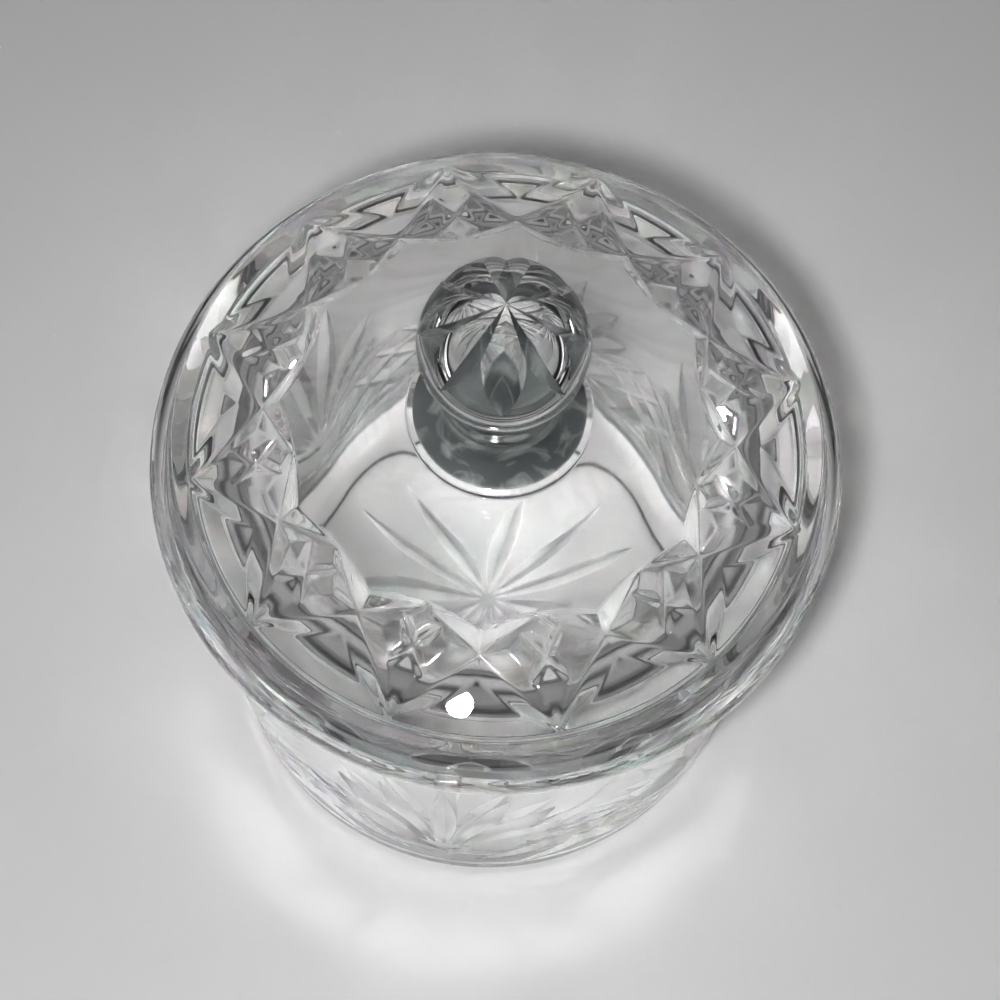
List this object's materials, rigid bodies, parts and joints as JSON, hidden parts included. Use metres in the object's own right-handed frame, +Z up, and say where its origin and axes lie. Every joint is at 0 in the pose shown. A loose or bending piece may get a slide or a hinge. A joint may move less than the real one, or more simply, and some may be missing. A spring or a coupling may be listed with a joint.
{
  "type": "crystal canister",
  "caption": "Round cut-crystal canister with a flared lip and a loose domed lid, lifted off by its ball knob, for keeping biscuits, sweets or dry food.",
  "frame": {"origin": "middle of the base, on the surface that the jar stands on", "axes": "+Z up along the axis of the jar, lid and knob; -Y towards the viewer of the picture"},
  "size_m": [0.15, 0.15, 0.1904],
  "materials": {
    "jar_crystal": "cut and polished lead crystal",
    "lid_crystal": "cut and polished lead crystal",
    "knob_crystal": "cut and polished lead crystal"
  },
  "bodies": {
    "jar": {"jar": "jar_crystal"},
    "lid": {"lid": "lid_crystal", "knob": "knob_crystal"}
  },
  "joints": [
    {"name": "lid_lift", "type": "slide", "parent": "jar", "child": "lid", "axis": [0, 0, 1], "range_m": [0, 0.08]}
  ]
}
